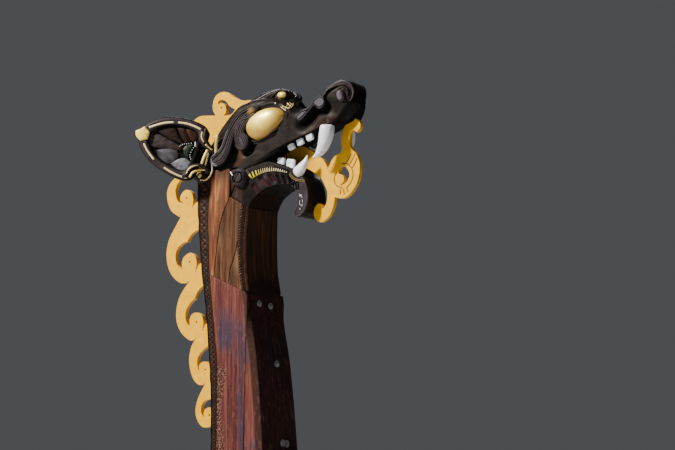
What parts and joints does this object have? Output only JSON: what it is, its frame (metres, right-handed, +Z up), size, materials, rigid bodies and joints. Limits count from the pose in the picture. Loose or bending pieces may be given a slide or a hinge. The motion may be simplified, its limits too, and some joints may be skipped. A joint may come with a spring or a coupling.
{
  "type": "dragon-head stem of a viking-style ship",
  "caption": "Carved dragon's head on a tapering stem-post neck, with fretwork mane, crest and tongue boards, open toothed jaws and outspread ears.",
  "frame": {"origin": "centre of the post's flat foot, where the piece stands on the ship's stem", "axes": "+Z up the post, +X ahead, the way the dragon looks, +Y to its left; mirror plane y = 0"},
  "size_m": [1.6092, 0.958, 2.4348],
  "materials": {
    "gold_paint": "yellow-gold paint on sawn boards",
    "red_stained_timber": "red stain, weathered, with bluish patches",
    "brown_timber": "oiled orange-brown timber with cracks",
    "gilding": "gold leaf on wood, rubbed",
    "white_enamel": "white gloss paint on wood",
    "yellow_paint": "yellow paint",
    "dark_carving": "dark tarred and oiled carving"
  },
  "bodies": {
    "root": {"brow_inner_left": "dark_carving", "brow_inner_right": "dark_carving", "brow_mask": "dark_carving", "brow_outer_left": "dark_carving", "brow_outer_right": "dark_carving", "chin_scroll": "dark_carving", "crest_scroll": "gold_paint", "ear_knot_left": "dark_carving", "ear_knot_right": "dark_carving", "ear_left": "dark_carving", "ear_right": "dark_carving", "ear_tip_left": "gilding", "ear_tip_right": "gilding", "edge_band_left": "dark_carving", "edge_band_right": "dark_carving", "eye_left": "gilding", "eye_right": "gilding", "eyelid_left": "dark_carving", "eyelid_right": "dark_carving", "jaw_comb_left": "yellow_paint", "jaw_comb_right": "yellow_paint", "jaw_hinge_left": "dark_carving", "jaw_hinge_right": "dark_carving", "lower_fang_left": "white_enamel", "lower_fang_right": "white_enamel", "lower_jaw": "dark_carving", "lower_teeth_left": "white_enamel", "lower_teeth_right": "white_enamel", "mane_scroll_1": "gold_paint", "mane_scroll_2": "gold_paint", "mane_scroll_3": "gold_paint", "mane_scroll_4": "gold_paint", "mane_scroll_5": "gold_paint", "mask_eye_left": "gilding", "mask_eye_right": "gilding", "neck_lower_front": "red_stained_timber", "neck_lower_post": "red_stained_timber", "neck_upper_back": "brown_timber", "neck_upper_front": "brown_timber", "nostril_left": "dark_carving", "nostril_right": "dark_carving", "skull": "dark_carving", "snout": "dark_carving", "snout_strap_left": "dark_carving", "snout_strap_right": "dark_carving", "tongue_board": "gold_paint", "upper_fang_left": "white_enamel", "upper_fang_right": "white_enamel", "upper_teeth_left": "white_enamel", "upper_teeth_right": "white_enamel"}
  },
  "joints": []
}
